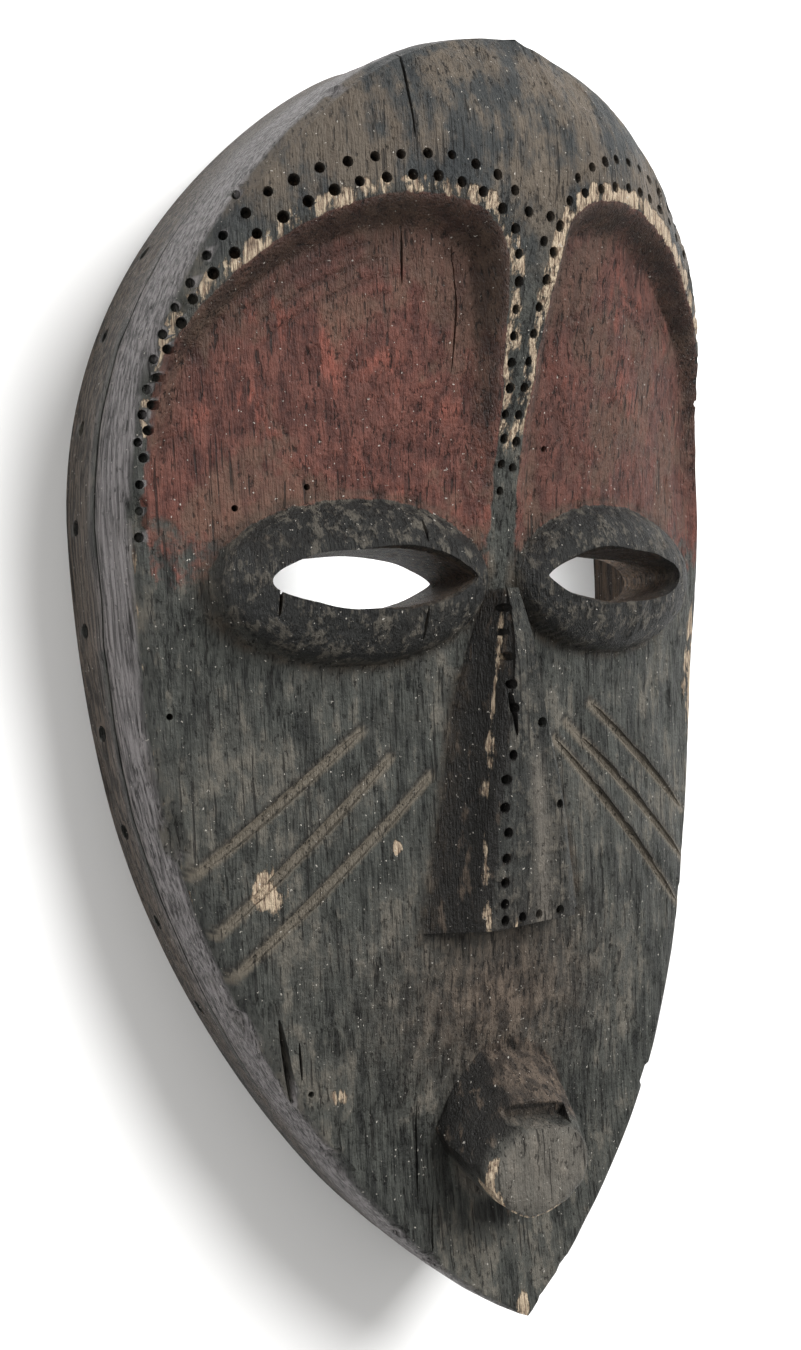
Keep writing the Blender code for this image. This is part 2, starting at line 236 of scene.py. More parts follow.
def hewn(points):
    """Depth of the tool marks and wear on the face: always inwards."""
    x, y = points[:, 0], points[:, 1]
    inside = lobe_inside(x, y)
    in_lobe = ease(0.001, 0.006, inside) * ease(0.02, 0.05, y)
    facets = np.abs(rough(points, (0.014, 0.030, 0.014), 1.0)) * facet_depth
    fibre = np.abs(rough(points, (0.0022, 0.030, 0.0022), 2.0)) * fibre_depth
    gouges = gouge_marks(points, inside) * gouge_depth * in_lobe
    flakes = ease(0.30, 0.42, rough(points, (0.007, 0.012, 0.007), 15.0)) * flake_depth
    return facets + fibre + gouges + flakes


def corners_of(piece):
    return np.array([vert.co[:] for vert in piece.data.vertices])


def keep(piece, name, values):
    """Keep one number for each corner on the mesh."""
    piece.data.attributes.new(name, "FLOAT", "POINT").data.foreach_set("value", values.astype(np.float32))


def numbers_of(piece, name):
    values = np.empty(len(piece.data.vertices), np.float32)
    piece.data.attributes[name].data.foreach_get("value", values)
    return values.astype(float)


def put(piece, points):
    """Move every corner of a piece to its new place."""
    piece.data.vertices.foreach_set("co", points.astype(np.float32).ravel())
    piece.data.update()


def walled_grid(name, columns, rows, bands):
    """A flat grid whose outer edge is drawn out once for each band, and closed at the last one."""
    bpy.ops.mesh.primitive_grid_add(x_subdivisions=columns, y_subdivisions=rows, size=2.0)
    piece = bpy.context.object
    piece.name = name
    grid = corners_of(piece)
    keep(piece, "across", grid[:, 0])
    keep(piece, "along", grid[:, 1])
    keep(piece, "level", np.ones(len(grid)))
    for band in bands:
        bpy.ops.object.mode_set(mode="EDIT")
        bpy.ops.mesh.select_mode(type="EDGE")
        if band == bands[0]:
            bpy.ops.mesh.select_all(action="DESELECT")
            bpy.ops.mesh.select_non_manifold()
        bpy.ops.mesh.extrude_edges_move()
        bpy.ops.object.mode_set(mode="OBJECT")
        levels = piece.data.attributes["level"].data
        for vert in piece.data.vertices:
            if vert.select:
                levels[vert.index].value = band
    bpy.ops.object.mode_set(mode="EDIT")
    bpy.ops.mesh.edge_face_add()
    bpy.ops.object.mode_set(mode="OBJECT")
    return piece


def merge_and_face_out(piece, near=0.00008):
    """Merge corners that meet, and turn the surface outwards."""
    bpy.context.view_layer.objects.active = piece
    piece.select_set(True)
    bpy.ops.object.mode_set(mode="EDIT")
    bpy.ops.mesh.select_all(action="SELECT")
    bpy.ops.mesh.remove_doubles(threshold=near)
    bpy.ops.mesh.dissolve_degenerate(threshold=near * 0.6)
    bpy.ops.mesh.normals_make_consistent(inside=False)
    bpy.ops.object.mode_set(mode="OBJECT")
    shape = bmesh.new()
    shape.from_mesh(piece.data)
    turned_in = shape.calc_volume(signed=True) < 0.0
    shape.free()
    if turned_in:
        piece.data.flip_normals()
    piece.select_set(False)


# The wall is drawn down from the face's edge, one band after the other, the first three round the edge.
edge_bands = (1.3, 1.6, 1.9)
mask = walled_grid("wooden_mask", across_count, along_count, (*edge_bands, *wall_levels))
across, along, level = (numbers_of(mask, name) for name in ("across", "along", "level"))
t, upper = row_place(along)
face_half, face_y = outline_place(t, upper, 1.0)
inset = np.minimum(edge_round, face_half * 0.5)
on_face = level == 1.0
on_round = level > 1.0
x = (face_half - inset) * across
points = np.stack([x, face_y, face_height(x, face_y)], axis=1)
rims = rim_height(x, face_y)
part = np.clip(0.5 + 0.5 * (rims - points[:, 2]) / rim_blend, 0.0, 1.0)
raised = points[:, 2] * (1 - part) + rims * part + rim_blend * part * (1 - part)
points[:, 2] = np.where(rim_share(x, face_y) > rim_reach, np.maximum(raised, points[:, 2]), points[:, 2])
points[:, 2] -= hewn(points)
points[:, 0] = sway(points[:, 0], face_y)

# Round the edge by a quarter turn, then follow the outline at each level of the wall.
edge_height = face_height(face_half, face_y)
turn = np.where(on_round, (level - 1.0) * math.pi / 2, 0.0)
drop = edge_round * (1.0 - np.cos(turn)) * np.minimum(face_half / edge_round, 1.0)
wall_share = np.where(on_round, 1.0 - drop / np.maximum(edge_height, 0.001), level)
wall_half, wall_y = outline_place(t, upper, wall_share)
swell = wall_swell * np.sin(math.pi * wall_share) * np.minimum(wall_half / edge_round, 1.0)
side_x = np.where(on_round, wall_half - inset * (1.0 - np.sin(turn)), wall_half + swell)
wall = np.stack([side_x * across, wall_y, edge_height * wall_share], axis=1)
worn = np.abs(rough(wall, (0.010, 0.026, 0.012), 5.0)) * wear_depth
chips = ease(0.30, 0.5, rough(wall, (0.007, 0.012, 0.02), 7.0)) * chip_depth * on_round
wall[:, 0] -= np.sign(wall[:, 0]) * np.minimum((worn + chips) * (wall_share > 0.01), np.abs(wall[:, 0]))
wall[:, 2] -= chips * 0.8
wall[:, 0] = sway(wall[:, 0], wall[:, 1])
put(mask, np.where(on_face[:, None], points, wall))
merge_and_face_out(mask)


# The back is hollowed out with the adze to an even wall, and left rough.
# Its roof follows the face, so that the mask is light enough to be worn or hung.
wall_thickness = 0.0105
face_thickness = 0.016
hollow_level = 0.8
hollow_bands = (0.85, 0.6, 0.4, 0.2, -0.2)
roof_share = 0.95                    # of the hollow's half width
eaves_drop = 0.004
bite_depth = 0.0018
tip_half = 0.010                     # below this half width the hollow closes to its tip
hollow = walled_grid("hollow", 56, 110, hollow_bands)
across, along, level = (numbers_of(hollow, name) for name in ("across", "along", "level"))
t, upper = row_place(along)
half, y = outline_place(t, upper, hollow_level, wall_thickness)
x = half * roof_share * np.sin(across * math.pi / 2)
scoop = 1.1 * follow(lobe_depth, 2.0 * y / length)
eaves = eaves_drop * np.abs(np.sin(across * math.pi / 2)) ** 5 * np.minimum(half / tip_half, 1.0)
roof = domed_height(x, y) - scoop - face_thickness - eaves
roof = np.maximum(roof, face_thickness)
top = np.stack([x, y, roof], axis=1)
top[:, 2] -= np.abs(rough(top, (0.011, 0.024, 0.02), 8.0)) * bite_depth
top[:, 0] = sway(top[:, 0], top[:, 1])
wall_half, wall_y = outline_place(t, upper, np.maximum(level, 0.0) * hollow_level, wall_thickness)
edge_roof = domed_height(half * roof_share, y) - scoop - face_thickness - eaves_drop
edge_roof = np.maximum(edge_roof, face_thickness) - bite_depth * (half < tip_half)
wall = np.stack([wall_half * across, wall_y, edge_roof * level], axis=1)
wall[:, 0] *= 1.0 - 0.010 * np.abs(rough(wall, (0.02, 0.012, 0.03), 9.0)) * (level > 0.0)
wall[:, 0] = sway(wall[:, 0], wall[:, 1])
put(hollow, np.where((level == 1.0)[:, None], top, wall))
merge_and_face_out(hollow)


# The nose is a long wedge, left standing in the same wood: narrow between the eyes, cut off square below.
# Its front is dished right of the middle, and its left edge is chipped away in its lower half.
# Each row: share of the half length, half width of the front, half width of the base, and height.
nose_line = ((-0.384, 0.0177, 0.0312, 0.0728), (-0.215, 0.0134, 0.0245, 0.0762),
             (-0.085, 0.0082, 0.0182, 0.0768), (-0.005, 0.0055, 0.0138, 0.0770),
             (0.045, 0.0040, 0.0105, 0.0760), (0.110, 0.0026, 0.0060, 0.0725))
nose_hollow = 0.0018
nose_into = 0.008
nose_foot_height = 0.048
front_part = 0.42                    # share of the grid that is the front of the nose
flank_part = 0.9                     # and where its side ends and its foot begins
dish_depth = 0.0013
corner_wear = 0.0011
chip_slope = 0.75
chip_back = 0.0026                   # how far in from the left edge the chip begins


def nose_size(column, y):
    """Half width of the front (1) or of the base (2), or the height (3), at a place along the nose."""
    return follow([(row[0], row[column]) for row in nose_line], 2.0 * y / length)


bpy.ops.mesh.primitive_grid_add(x_subdivisions=44, y_subdivisions=76, size=2.0)
nose = bpy.context.object
nose.name = "nose"
grid = corners_of(nose)
share = nose_line[0][0] + (nose_line[-1][0] - nose_line[0][0]) * (grid[:, 1] + 1.0) / 2
y = share * length / 2
front, base, height = (nose_size(column, y) for column in (1, 2, 3))
side = np.sign(grid[:, 0])
out = np.abs(grid[:, 0])
down = np.clip((out - front_part) / (flank_part - front_part), 0.0, 1.0)
foot_line = face_height(base, y)
hollowed = nose_hollow * np.minimum(base / nose_line[0][2], 1.0) * np.sin(math.pi * down)
x = np.where(out < front_part, front * out / front_part, front + (base - front) * down - hollowed)
dish = dish_depth * np.exp(-((x * side / front - 0.25) / 0.5) ** 2) * ease(0.02, -0.03, y)
z = np.where(out < front_part, height - dish, height + (foot_line - height) * down)
z = np.where(out > flank_part, foot_line - nose_into * (out - flank_part) / (1.0 - flank_part), z)
corner = corner_wear * np.exp(-((out - front_part) / 0.035) ** 2)
x = x - corner * 0.6
z = z - corner * 0.7
chip = height - chip_slope * (x - (front - chip_back)) + 0.02 * ease(-0.046, -0.036, y)
z = np.where((side < 0) & (out < flank_part), np.minimum(z, chip), z)
points = np.stack([x * side, y, z], axis=1)
points[:, 2] -= np.abs(rough(points, (0.006, 0.016, 0.006), 10.0)) * 0.0007 * (out < flank_part)
points[:, 0] -= side * np.abs(rough(points, (0.006, 0.018, 0.008), 11.0)) * 0.0006 * (down > 0)
put(nose, points)
bpy.ops.object.mode_set(mode="EDIT")
bpy.ops.mesh.select_mode(type="EDGE")
bpy.ops.mesh.select_all(action="DESELECT")
bpy.ops.mesh.select_non_manifold()
bpy.ops.mesh.extrude_edges_move(TRANSFORM_OT_translate={"value": (0.0, 0.0, -0.030)})
bpy.ops.mesh.edge_face_add()
bpy.ops.object.mode_set(mode="OBJECT")
for vert in nose.data.vertices:
    if vert.select:
        vert.co.z = nose_foot_height
merge_and_face_out(nose)


# The mouth is a blunt five-sided snout that narrows from its base and leans down to the chin.
# It is left standing in the same wood, and a notch is cut across just above its front.
mouth_y = -0.1409
mouth_base = (0.0245, 0.0235)
mouth_front = (0.0195, 0.0140)
mouth_drop = 0.0140
mouth_top = 0.0700
mouth_sunk = 0.010
mouth_steps = 14


def stacked_ring(name, corner_count, levels):
    """A disc drawn up once for each level, with each corner's angle, its level's number and values."""
    bpy.ops.mesh.primitive_circle_add(vertices=corner_count, radius=1.0, fill_type="NGON")
    piece = bpy.context.object
    piece.name = name
    bpy.ops.object.mode_set(mode="EDIT")
    bpy.ops.mesh.select_mode(type="FACE")
    bpy.ops.mesh.select_all(action="SELECT")
    for _ in levels[1:]:
        bpy.ops.mesh.extrude_region_move(TRANSFORM_OT_translate={"value": (0.0, 0.0, 1.0)})
    bpy.ops.object.mode_set(mode="OBJECT")
    points = corners_of(piece)
    angle = np.arctan2(points[:, 1], points[:, 0])
    order = np.rint(points[:, 2]).astype(int)
    return piece, angle, order, [np.array(column)[order] for column in zip(*levels)]


mouth_face = float(face_height(np.zeros(1), np.full(1, mouth_y))[0])
mouth_levels = [(mouth_face - mouth_sunk, 0.0, 1.0)]
for i in range(1, mouth_steps + 1):
    share = i / mouth_steps
    height = mouth_face + (mouth_top - mouth_face) * share
    mouth_levels.append((height, share, 1.0 + 0.03 * math.sin(math.pi * share)))
for rise, size in ((0.0006, 0.93), (0.0010, 0.75), (0.0010, 0.55), (0.0009, 0.35), (0.0008, 0.15)):
    mouth_levels.append((mouth_top + rise, 1.0, size))
mouth, angle, order, (height, share, size) = stacked_ring("mouth", 56, mouth_levels)
five_sided = math.cos(math.pi / 5) / np.cos((angle - math.pi) % (0.4 * math.pi) - math.pi / 5)
facet = 1.0 + (0.62 - 0.34 * share) * (1.06 * five_sided - 1.0)
wide = (mouth_base[0] + (mouth_front[0] - mouth_base[0]) * share ** 1.1) * size * facet
tall = (mouth_base[1] + (mouth_front[1] - mouth_base[1]) * share ** 1.1) * size * facet
middle_y = mouth_y - mouth_drop * share
points = np.stack([wide * np.cos(angle), middle_y + tall * np.sin(angle), height], axis=1)
points[:, 2] -= np.abs(rough(points, (0.007, 0.007, 0.007), 12.0)) * 0.0010 * (order > 1)
points[:, 0] *= 1.0 - 0.05 * np.abs(rough(points, (0.009, 0.009, 0.006), 13.0)) * (order > 0)
put(mouth, points)
merge_and_face_out(mouth)


# The eye slots are pierced right through, pointed at the nose and round at the temple,
# and their mouths are bevelled out to the top of the rim.
slot_x = 0.0470
slot_half = (0.0325, 0.0086)
slot_flare = 0.0035
slot_point = 0.78
cutters = []
for side in (-1, 1):
    top = float(face_height(np.full(1, side * slot_x), np.full(1, eye_y))[0]) + rim_size[2]
    slot_levels = ((0.018, 0.001), (top - 0.018, -0.0004), (top - 0.007, 0.0), (top - 0.0035, 0.0),
                   (top - 0.0015, slot_flare * 0.35), (top + 0.004, slot_flare * 1.6))
    slot, angle, _, (height, flare) = stacked_ring("eye_slot", 64, slot_levels)
    t = np.cos(angle)
    power = 0.5 + (slot_point - 0.5) * ease(-0.3, 0.9, -t * side)
    rise = (slot_half[1] + flare) * np.maximum(1.0 - t * t, 0.0) ** power
    points = np.stack([side * slot_x + (slot_half[0] + flare * 0.7) * t,
                       eye_y + rise * np.sign(np.sin(angle)), height], axis=1)
    points[:, 1] += rough(points, (0.012, 0.012, 0.03), 14.0) * 0.0006
    put(slot, points)
    merge_and_face_out(slot)
    cutters.append([slot])


# The cheek grooves and the cracks are long shallow cuts that thin out at both ends.
# The grooves were drawn with a gouge; the cracks opened along the grain as the wood dried.
def on_the_face(x, y):
    """A place on the face and the direction that points out of it there."""
    step = 0.0015
    height = carved_height(np.array([x, x + step, x]), np.array([y, y, y + step]))
    out = Vector((-(height[1] - height[0]) / step, -(height[2] - height[0]) / step, 1.0)).normalized()
    return Vector((x, y, height[0])), out


def on_the_wall(side, y, level):
    """A place on the side wall at a height from 0 at the rim to 1 at the face, and its direction."""
    upper = np.array(y > widest)
    end = length / 2 - crown_lean * level if y > widest else -length / 2 + chin_lean * (1.0 - level)
    shares = np.clip(np.array([(y - widest) / (end - widest)]) + np.array([0.0, 0.01]), 0.0, 1.0)
    half, along_y = outline_place(shares, upper, level)
    run = Vector((half[1] - half[0], along_y[1] - along_y[0], 0.0))
    out = Vector((abs(run.y), abs(run.x) * (1.0 if y > widest else -1.0), 0.0)).normalized()
    front_half, front_y = outline_place(shares[:1], upper, 1.0)
    height = float(face_height(front_half, front_y)[0]) * level
    swell_here = wall_swell * math.sin(math.pi * level)
    x = float(sway(side * (half[0] + swell_here), along_y[0]))
    return Vector((x, along_y[0], height)), Vector((side * out.x, out.y, 0.0))


def long_cut(name, places, wide, deep, rings=20):
    """A cutter shaped like a long seed, bent along places on the surface."""
    bpy.ops.mesh.primitive_uv_sphere_add(segments=8, ring_count=rings, radius=1.0)
    cut = bpy.context.object
    cut.name = name
    steps = [0.0]
    for (a, _), (b, _) in zip(places, places[1:]):
        steps.append(steps[-1] + (b - a).length)
    for vert in cut.data.vertices:
        t = (vert.co.z + 1.0) / 2 * steps[-1]
        i = max(k for k in range(len(places) - 1) if steps[k] <= t + 1e-9)
        part = (t - steps[i]) / (steps[i + 1] - steps[i])
        place = places[i][0].lerp(places[i + 1][0], part)
        out = places[i][1].lerp(places[i + 1][1], part).normalized()
        run = (places[i + 1][0] - places[i][0]).normalized()
        beside = run.cross(out).normalized()
        vert.co = place + beside * vert.co.x * wide / 2 + out * vert.co.y * deep
    merge_and_face_out(cut, 0.000002)
    return cut


scars = {-1: (((0.049, -0.0176), (0.0982, -0.0547)), ((0.040, -0.0261), (0.0920, -0.0721)),
              ((0.0267, -0.0325), (0.0882, -0.0848))),
         1: (((0.0409, -0.0145), (0.0947, -0.0555)), ((0.0291, -0.0201), (0.0946, -0.0736)),
             ((0.0233, -0.0249), (0.0885, -0.0880)))}
scar_width = 0.0037
scar_depth = 0.0021
scar_cuts = []
for side, lines in scars.items():
    for start, end in lines:
        places = []
        for i in range(9):
            x = side * (start[0] + (end[0] - start[0]) * i / 8)
            y = start[1] + (end[1] - start[1]) * i / 8
            places.append(on_the_face(x, y))
        scar_cuts.append(long_cut("cheek_groove", places, scar_width, scar_depth, 28))
cutters.append(scar_cuts)


# The brow, the ridge and the front of the nose are set with rows of drilled dots.
# They were drilled one by one, so their spacing and width wander a little.
dot_width = 0.0033
dot_pitch = 0.0071
dot_wander = (0.0007, 0.0009)
dot_taper = (0.36, 0.56)
dot_length = 0.0062
dot_lift = 0.0014
insect_width = 0.0020
dot_rows = (
    ((-0.110, 0.066), (-0.107, 0.086), (-0.100, 0.104), (-0.090, 0.120), (-0.074, 0.134),
     (-0.052, 0.1405), (-0.032, 0.142), (-0.015, 0.138), (-0.004, 0.130)),
    ((-0.1105, 0.040), (-0.1092, 0.058), (-0.105, 0.078), (-0.098, 0.102), (-0.086, 0.1165),
     (-0.066, 0.130), (-0.042, 0.136), (-0.021, 0.1335), (-0.0085, 0.125), (-0.0052, 0.110),
     (-0.0036, 0.092), (-0.003, 0.072), (-0.0015, 0.0525)),
    ((0.015, 0.142), (0.030, 0.1505), (0.045, 0.1525), (0.059, 0.150), (0.075, 0.142),
     (0.090, 0.127), (0.100, 0.108), (0.106, 0.088)),
    ((0.0115, 0.135), (0.020, 0.139), (0.034, 0.143), (0.053, 0.1445), (0.066, 0.141),
     (0.080, 0.133), (0.093, 0.117), (0.101, 0.099), (0.107, 0.078), (0.109, 0.055), (0.1095, 0.038)),
    ((0.008, 0.1275), (0.0062, 0.118), (0.0042, 0.105), (0.0030, 0.090), (0.0022, 0.072),
     (0.0026, 0.059)),
)
dots = []
number = 0
for row in dot_rows:
    runs = [0.0]
    for a, b in zip(row, row[1:]):
        runs.append(runs[-1] + math.dist(a, b))
    count = int(runs[-1] / dot_pitch) + 1
    for k in range(count):
        number += 1
        wander = Vector((noise.noise(Vector((number * 1.7, 0.3, 0.0))),
                         noise.noise(Vector((number * 1.3, 9.1, 0.0)))))
        travelled = np.array([runs[-1] * k / (count - 1)])
        x = follow(list(zip(runs, [spot[0] for spot in row])), travelled)[0] + wander.x * dot_wander[0]
        y = follow(list(zip(runs, [spot[1] for spot in row])), travelled)[0] + wander.y * dot_wander[1]
        place, out = on_the_face(x, y)
        dots.append((place, out, dot_width * (1.0 + 0.22 * wander.x - 0.12 * wander.y)))
for x, y in ((0.0040, 0.1295), (0.0026, 0.1225), (-0.087, 0.1305)):
    dots.append((*on_the_face(x, y), dot_width))


nose_wear = 0.0008


def on_the_nose(x, y):
    """A place on the worn front of the nose, and the direction out of it."""
    return Vector((x, y, float(nose_size(3, np.array([y]))[0]) - nose_wear)), Vector((0.0, 0.0, 1.0))


nose_dot_width = dot_width * 0.95
nose_dots = ((-0.0039, 0.0168), (-0.0056, 0.0095), (-0.0057, 0.0020), (-0.0058, -0.0064),
             (-0.0054, -0.0136), (-0.0071, -0.0276), (-0.0099, -0.0348), (-0.0110, -0.0430),
             (-0.0100, -0.0506), (-0.0108, -0.0583), (-0.0111, -0.0655), (-0.0112, -0.0720),
             (-0.0110, -0.0770), (-0.0040, -0.0770), (0.0032, -0.0772), (0.0113, -0.0770),
             (0.0053, -0.0186), (0.0111, -0.0441))
for x, y in nose_dots:
    dots.append((*on_the_nose(x, y), nose_dot_width))
for x, y in ((-0.0846, 0.0476), (-0.0643, 0.0532), (0.0174, 0.066), (-0.1030, -0.0095), (-0.0670, -0.1221)):
    dots.append((*on_the_face(x, y), insect_width))

dot_cuts = []
for place, out, wide in dots:
    bpy.ops.mesh.primitive_cone_add(vertices=10, radius1=wide * dot_taper[0], radius2=wide * dot_taper[1],
                                    depth=dot_length)
    dot = bpy.context.object
    dot.name = "drilled_dot"
    swing = Vector((0.0, 0.0, 1.0)).rotation_difference(out).to_matrix().to_4x4()
    dot.data.transform(Matrix.Translation(place - out * dot_lift) @ swing)
    dot.matrix_world = Matrix.Identity(4)
    dot_cuts.append(dot)
cutters.append(dot_cuts)


# The drying cracks run with the grain: one along the whole left wall, others in the crown and left lobe,
# and a wide split beside the chin. Each is cut to its real width at the surface.
crack_depth = 0.0045
cracks = []
left_wall = [on_the_wall(-1, 0.150 - 0.0145 * k, 0.50 + 0.020 * math.sin(k * 0.9)) for k in range(20)]
cracks.append(long_cut("wall_crack", left_wall, 0.0011, 0.0050, 48))
right_wall = [on_the_wall(1, 0.110 - 0.0150 * k, 0.44 + 0.020 * math.sin(k * 0.7)) for k in range(12)]
cracks.append(long_cut("wall_crack", right_wall, 0.0008, 0.0040, 36))
face_cracks = {
    "crown": (((-0.040, 0.176), (-0.0412, 0.160), (-0.0410, 0.146)), 0.0009),
    "lobe": (((-0.0395, 0.1240), (-0.0386, 0.1090)), 0.0008),
    "lobe_long": (((-0.0235, 0.1216), (-0.0205, 0.1050), (-0.0203, 0.0940), (-0.0205, 0.0855)),
                  0.0008),
    "chin_split": (((-0.0760, -0.0985), (-0.0738, -0.1130), (-0.0712, -0.1285), (-0.0680, -0.1345)),
                   0.0026),
    "chin_second": (((-0.0703, -0.1060), (-0.0696, -0.1175)), 0.0009),
    "below_mouth": (((-0.0316, -0.1310), (-0.0326, -0.1630)), 0.0008),
    "chin_low": (((-0.0273, -0.1622), (-0.0297, -0.1816)), 0.0008),
    "chin_middle": (((0.0147, -0.1700), (0.0150, -0.1800)), 0.0007),
    "rim_above": (((-0.0315, 0.0435), (-0.0318, 0.0365)), 0.0011),
    "rim_below": (((-0.0330, 0.0180), (-0.0333, 0.0080)), 0.0010),
    "rim_outer": (((-0.0775, 0.0245), (-0.0778, 0.0165)), 0.0010),
}
for line, wide in face_cracks.values():
    places = []
    for (x0, y0), (x1, y1) in zip(line, line[1:]):
        places += [on_the_face(x0 + (x1 - x0) * k / 3, y0 + (y1 - y0) * k / 3) for k in range(3)]
    places.append(on_the_face(*line[-1]))
    cracks.append(long_cut("crack", places, wide, crack_depth, 24))
split = [on_the_nose(-0.0066 + 0.0003 * k, -0.0085 - 0.0027 * k) for k in range(6)]
cracks.append(long_cut("nose_split", split, 0.0021, 0.0030, 16))
cutters.append(cracks)


# A line of small holes through the side wall, close to the back rim, held a cord or a fringe.
# The notch in the mouth is cut across its upper lip.
hole_width = 0.005
hole_height = 0.0085
hole_pitch = 0.030
hole_first = 0.1135                  # from the crown's tip, measured along the wall
hole_level = 0.12
holes_a_side = 9
wall_steps = 400
holes = []
for side in (-1, 1):
    travelled = 0.0
    last = None
    found = 0
    for i in range(1, wall_steps):
        angle = math.pi / 2 - math.pi * i / wall_steps
        half, y = outline_place(abs(math.sin(angle)), np.array(angle > 0.0), hole_level)
        here = Vector((float(half), float(y), 0.0))
        if last is not None:
            travelled += (here - last).length
        if last is not None and travelled >= hole_first + hole_pitch * found and found < holes_a_side:
            found += 1
            run = (here - last).normalized()
            out = Vector((-run.y * side, run.x, 0.0))
            bpy.ops.mesh.primitive_cylinder_add(vertices=12, radius=hole_width / 2,
                                                depth=wall_thickness * 4)
            hole = bpy.context.object
            hole.name = "wall_hole"
            swing = Vector((0.0, 0.0, 1.0)).rotation_difference(out).to_matrix().to_4x4()
            middle = Vector((float(sway(side * here.x, here.y)), here.y, hole_height))
            hole.data.transform(Matrix.Translation(middle) @ swing)
            hole.matrix_world = Matrix.Identity(4)
            holes.append(hole)
        last = here

notch_size = (0.024, 0.0052, 0.012)
notch_place = (0.0020, mouth_y - mouth_drop + mouth_front[1] + 0.0008, mouth_top)
bpy.ops.mesh.primitive_cube_add(size=1.0)
notch = bpy.context.object
notch.name = "mouth_notch"
notch.data.transform(Matrix.Diagonal((*notch_size, 1.0)))
notch.data.transform(Matrix.Rotation(math.radians(20.0), 4, "X"))
notch.data.transform(Matrix.Rotation(math.radians(-9.0), 4, "Z"))
notch.data.transform(Matrix.Translation(notch_place))
holes.append(notch)
cutters.append(holes)


def carve(piece, tool, operation):
    """Join one shape to the mask or cut it away, and remove the tool."""
    bpy.context.view_layer.objects.active = piece
    step = piece.modifiers.new(tool.name, "BOOLEAN")
    step.operation = operation
    step.solver = "MANIFOLD"
    step.object = tool
    bpy.ops.object.modifier_apply(modifier=step.name)
    bpy.data.objects.remove(tool)


def as_one(tools):
    """Join a group of cutters that don't touch each other."""
    bpy.ops.object.select_all(action="DESELECT")
    for tool in tools:
        tool.select_set(True)
    bpy.context.view_layer.objects.active = tools[0]
    if len(tools) > 1:
        bpy.ops.object.join()
    joined = bpy.context.object
    joined.select_set(False)
    return joined


carve(mask, nose, "UNION")
carve(mask, mouth, "UNION")
carve(mask, hollow, "DIFFERENCE")
for tools in cutters:
    carve(mask, as_one(tools), "DIFFERENCE")


# The paint: soot black with clay dust worked into it, a red earth in the lobes, and bare wood
# where long use has worn the edges. Each share is kept on the mesh, for the finish to read.
points = corners_of(mask)
normals = np.array([normal.vector[:] for normal in mask.data.vertex_normals])
up_share = normals[:, 2]
x, y, z = points.T
nose_base = nose_size(2, y)
on_nose = (y < 0.022) & (y > -0.082) & (np.abs(x) < nose_base)
on_mouth = ((x / 0.027) ** 2 + ((y - mouth_y + 0.006) / 0.029) ** 2) < 1.0
surface = carved_height(x, y)
row_x = x
x = sway(x, y, back=True)
inside = lobe_inside(x, y)
rims = rim_share(x, y)
front = ease(0.15, 0.5, up_share) * ease(-0.006, -0.002, z - surface)
edge_gap = half_width(y) - np.abs(x)
on_rim = ease(-0.06, 0.06, rims)

# The red earth ends raggedly above the eyes. Painted shade darkens it in the top of each lobe's cove and in
# the gouge marks, and the right lobe is a darker red of its own.
fade = 0.008 * rough(points, (0.012, 0.012, 0.02), 16.0)
red = ease(-0.0010, 0.0015, inside) * ease(0.012, 0.060, y + fade) * (1 - on_rim) * front
lobe_shade_and_tone = np.maximum(0.75 * ease(0.030, 0.006, inside) * ease(0.07, 0.12, y), 0.40 * ease(0.0, 0.02, x))
lobe_shade_and_tone = np.clip(lobe_shade_and_tone + 0.55 * gouge_marks(points, inside), 0.0, 1.0) * red

# Bare wood shows along the brow, at the face's edge, and on the edges of mouth and nose.
band = ease(-0.0100, -0.0030, inside) * (1 - ease(0.0000, 0.0022, inside)) * ease(0.045, 0.07, y)
middle_v = np.exp(-(x / 0.014) ** 2 - ((y - 0.122) / 0.022) ** 2)
right_top = ease(0.0, 0.03, x) * ease(0.10, 0.13, y)
band *= 0.86 + 0.14 * np.maximum(middle_v, right_top)
low_edge = ease(0.005, 0.001, edge_gap) * ease(-0.12, -0.08, y) * 0.75
right_strip = ease(0.026, 0.004, edge_gap) * (x > 0)
right_strip = right_strip * ease(-0.075, -0.010, y) * ease(0.055, 0.005, y) * 0.95
lip_x = row_x / mouth_front[0]
lip_y = (y - mouth_y + mouth_drop) / mouth_front[1]
lip = np.hypot(lip_x, lip_y)
lower_left = ease(0.2, -0.6, lip_x + lip_y)
mouth_rim = on_mouth * np.exp(-((lip - 0.98) / 0.14) ** 2)
mouth_rim = mouth_rim * ease(0.058, 0.064, z) * (0.62 + 0.38 * lower_left)
mouth_slope = on_mouth * ease(1.05, 1.3, lip) * (lip_y > 0.0) * ease(-0.018, -0.004, row_x)
mouth_flat = on_mouth * ease(1.05, 0.85, lip)
worn_spots = np.zeros(len(points))
for spot_x, spot_y, reach in ((-0.078, -0.062, 0.008), (-0.058, -0.124, 0.004),
                              (0.003, -0.2045, 0.005), (-0.0388, -0.0528, 0.0026)):
    away = (row_x - spot_x) ** 2 + ((y - spot_y) / 1.6) ** 2
    worn_spots = np.maximum(worn_spots, 1.1 * np.exp(-away / reach ** 2))
nose_foot = on_nose * (row_x < 0) * ease(0.069, 0.060, z) * ease(-0.03, -0.07, y) * 0.62
left_edge = on_nose * np.exp(-((z - 0.0715) / 0.0022) ** 2) * (row_x < -0.004) * 0.92
right_edge = on_nose * (row_x > 0.004) * np.exp(-((up_share - 0.86) / 0.08) ** 2) * 0.8
worn = np.maximum.reduce([band, low_edge, right_strip, worn_spots]) * front
worn = np.maximum.reduce([worn, mouth_rim, mouth_slope * 0.62, nose_foot, left_edge, right_edge])
